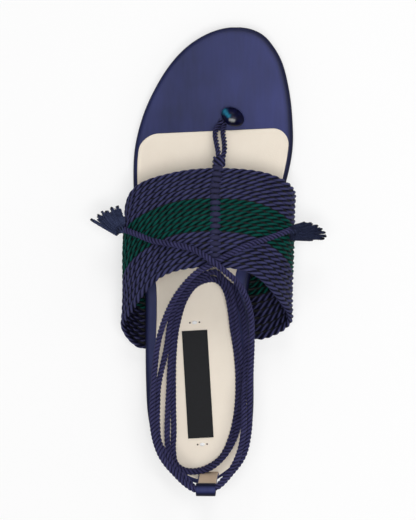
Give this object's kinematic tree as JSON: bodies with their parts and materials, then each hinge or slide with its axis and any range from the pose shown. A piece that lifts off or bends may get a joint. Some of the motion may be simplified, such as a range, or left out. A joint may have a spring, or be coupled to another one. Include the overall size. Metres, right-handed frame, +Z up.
{
  "type": "toe post sandal",
  "caption": "Flat left thong sandal: a wide band of twisted cord over the instep, a toe cord with a bead, and a wound ankle lace with tassels.",
  "frame": {"origin": "bottom middle of the sandal's box without its lace and tassels, on the floor that the sole stands on", "axes": "+Y from heel to toe, +X to the big toe's side, +Z up"},
  "size_m": [0.1249, 0.2478, 0.0644],
  "materials": {
    "sole_leather": "dark smooth sole leather",
    "navy_leather": "satin navy leather",
    "cream_leather": "smooth cream lining leather",
    "black_patch": "plain black woven patch",
    "navy_cord": "twisted cord with a slight sheen, navy; the band's middle stripe is green",
    "bead_gloss": "polished dark blue bead",
    "tassel_cotton": "dull navy cotton strands"
  },
  "bodies": {
    "root": {"outsole": "sole_leather", "footbed": "navy_leather", "sock_lining": "cream_leather", "label_patch": "black_patch", "cord_band": "navy_cord", "toe_cord": "navy_cord", "toe_bead": "bead_gloss", "heel_stay": "navy_leather", "ankle_lace": "navy_cord", "tassel_lateral": "tassel_cotton", "tassel_medial": "tassel_cotton"}
  },
  "joints": []
}
